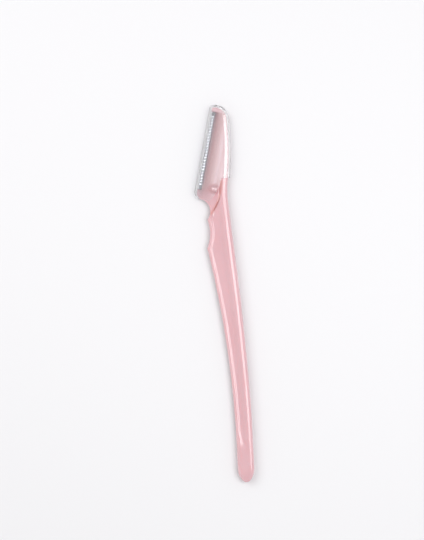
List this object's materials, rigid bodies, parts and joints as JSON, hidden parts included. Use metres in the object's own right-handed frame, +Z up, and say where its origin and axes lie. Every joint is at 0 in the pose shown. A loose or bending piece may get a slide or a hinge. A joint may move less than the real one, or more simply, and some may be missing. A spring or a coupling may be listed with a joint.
{
  "type": "eyebrow razor",
  "caption": "Slim one-piece handle moulded round a straight guarded blade, with a clear sheath that slides off over the blade.",
  "frame": {"origin": "under the middle of the razor's box, on the surface that it lies on", "axes": "+Y along the handle towards the tip of the head, +X towards the spine, with the cutting edge on -X, +Z up through the side that it lies on"},
  "size_m": [0.0166, 0.1498, 0.0044],
  "materials": {
    "handle_plastic": "glossy, slightly translucent pale pink",
    "blade_steel": "ground and polished stainless strip",
    "guard_steel": "bright stainless foil",
    "cap_plastic": "clear glossy plastic"
  },
  "bodies": {
    "razor": {"handle": "handle_plastic", "blade": "blade_steel", "guard": "guard_steel"},
    "cap": {"cap": "cap_plastic"}
  },
  "joints": [
    {"name": "cap_slide", "type": "slide", "parent": "razor", "child": "cap", "axis": [0.2756, 0.9613, 0], "range_m": [0, 0.045]}
  ]
}
